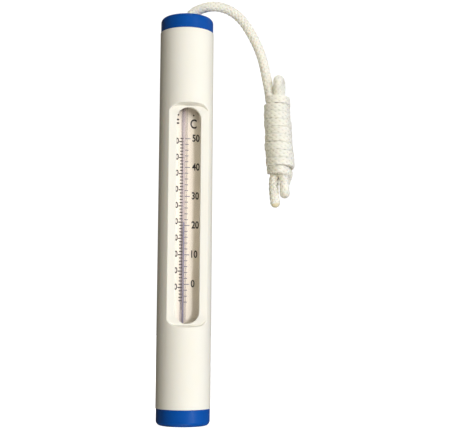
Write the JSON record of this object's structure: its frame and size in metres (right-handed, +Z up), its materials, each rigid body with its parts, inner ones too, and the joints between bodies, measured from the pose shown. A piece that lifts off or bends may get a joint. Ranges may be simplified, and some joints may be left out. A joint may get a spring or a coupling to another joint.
{
  "type": "floating pool thermometer",
  "caption": "Upright tube float with a recessed window over a printed scale and glass spirit column, coloured end caps, and a braided tether cord wound into a hank.",
  "frame": {"origin": "centre of the bottom cap's flat face, which is the bottom centre of the part without its cord", "axes": "+Z runs up the float tube, -Y is the side that the scale window faces, and the cord leaves the top cap towards +X"},
  "size_m": [0.0677, 0.0315, 0.2129],
  "materials": {
    "white_shell": "satin",
    "blue_cap": "satin",
    "clear_lens": "gloss",
    "grey_rubber": "matte",
    "black_rubber": "matte",
    "ballast_steel": "satin",
    "foam": "matte",
    "inner_plastic": "matte",
    "scale_card": "matte",
    "clear_glass": "gloss",
    "blue_spirit": "gloss",
    "washer_steel": "satin",
    "white_cord": "matte"
  },
  "bodies": {
    "root": {"housing_tube": "white_shell", "lens_gasket": "grey_rubber", "window_lens": "clear_lens", "bottom_cap": "blue_cap", "bottom_cap_o_ring": "black_rubber", "ballast_weight": "ballast_steel", "ballast_pad": "foam", "lower_scale_holder": "inner_plastic", "bulb_boot": "black_rubber", "scale_plate": "scale_card", "capillary_tube": "clear_glass", "bulb_spirit": "blue_spirit", "spirit_thread": "blue_spirit", "lower_stem_clip": "inner_plastic", "upper_stem_clip": "inner_plastic", "upper_scale_holder": "inner_plastic", "top_bulkhead": "inner_plastic", "top_bulkhead_o_ring": "black_rubber", "top_cap": "blue_cap", "cord_washer": "washer_steel", "cord_knot": "white_cord", "cord_lead": "white_cord", "cord_hank": "white_cord"},
    "column_top": {"spirit_meniscus": "blue_spirit"}
  },
  "joints": [
    {"name": "reading", "type": "slide", "parent": "root", "child": "column_top", "axis": [0, 0, 1], "range_m": [-0.0398, 0.0428], "deforming": ["spirit_thread"]}
  ]
}
